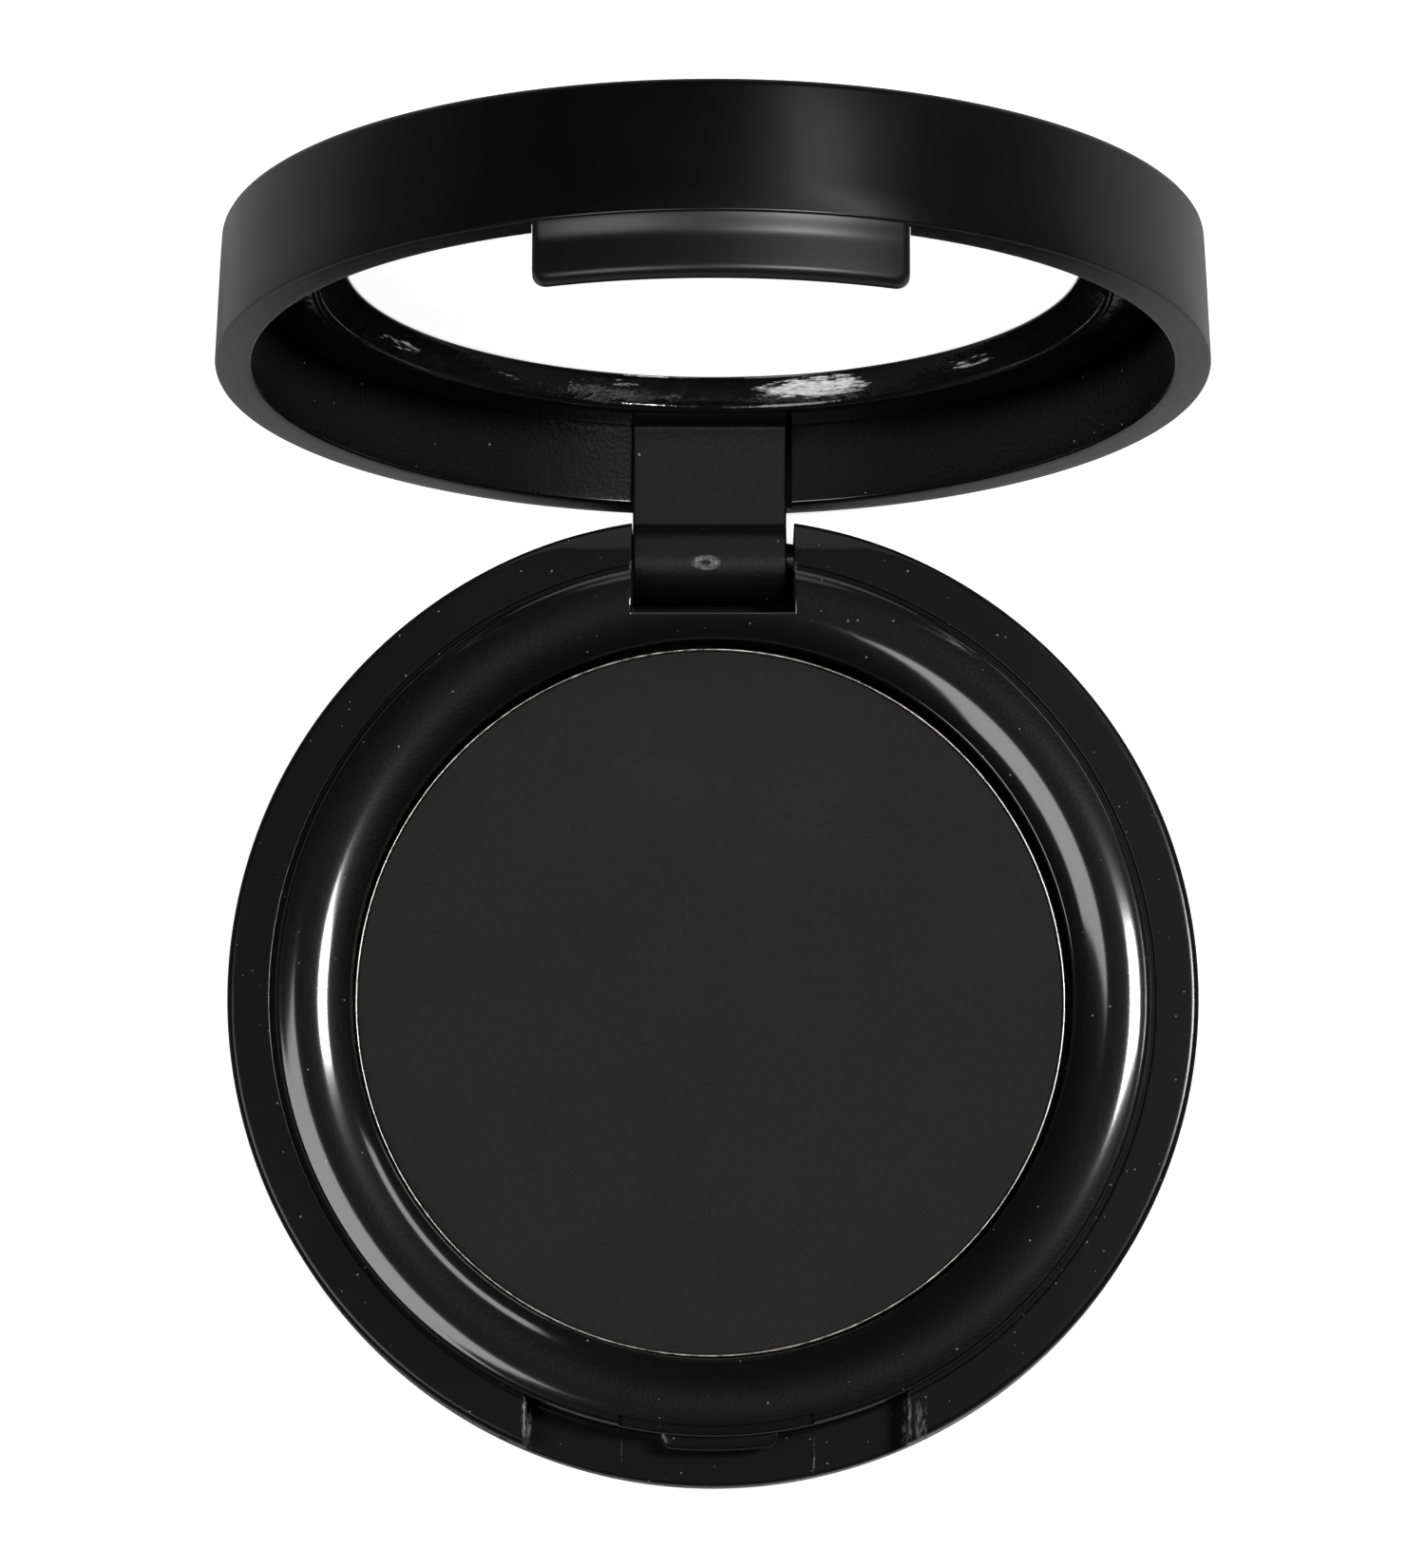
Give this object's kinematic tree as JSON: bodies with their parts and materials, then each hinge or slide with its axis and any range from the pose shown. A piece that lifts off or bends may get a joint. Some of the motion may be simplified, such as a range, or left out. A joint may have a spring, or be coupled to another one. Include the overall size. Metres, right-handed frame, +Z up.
{
  "type": "round mirrored compact",
  "caption": "Round black makeup compact with a hinged mirror lid, a raised ring around a pressed powder pan and a snap tab at the front.",
  "frame": {"origin": "centre of the flat underside of the base", "axes": "+Z up out of the powder, +Y towards the hinge, +X to the right seen from the latch"},
  "size_m": [0.06, 0.0802, 0.061],
  "materials": {
    "black_shell": "smooth satin black moulding",
    "black_deck": "black moulding, fine matte texture, satin on the ring",
    "black_gloss": "glossy black moulding",
    "black_tab": "semi-gloss black moulding",
    "pan_metal": "thin pressed sheet, plain",
    "pin_steel": "plain drawn wire",
    "pressed_powder": "matte pressed charcoal powder",
    "mirror_glass": "silvered glass",
    "white_film": "blank white protective film",
    "adhesive": "double-sided adhesive"
  },
  "bodies": {
    "base": {"base_cup": "black_shell", "base_deck": "black_deck", "hinge_pin": "pin_steel", "pan_adhesive": "adhesive", "pan": "pan_metal", "powder_cake": "pressed_powder"},
    "lid": {"lid_shell": "black_shell", "lid_liner": "black_gloss", "mirror_film": "white_film", "mirror_glass": "mirror_glass", "mirror_tape": "adhesive", "hinge_lug": "black_deck", "latch_tab": "black_tab"}
  },
  "joints": [
    {"name": "lid_hinge", "type": "hinge", "parent": "base", "child": "lid", "pos_m": [0, 0.02728, 0.0054], "axis": [1, 0, 0], "range_deg": [0, 101]}
  ]
}
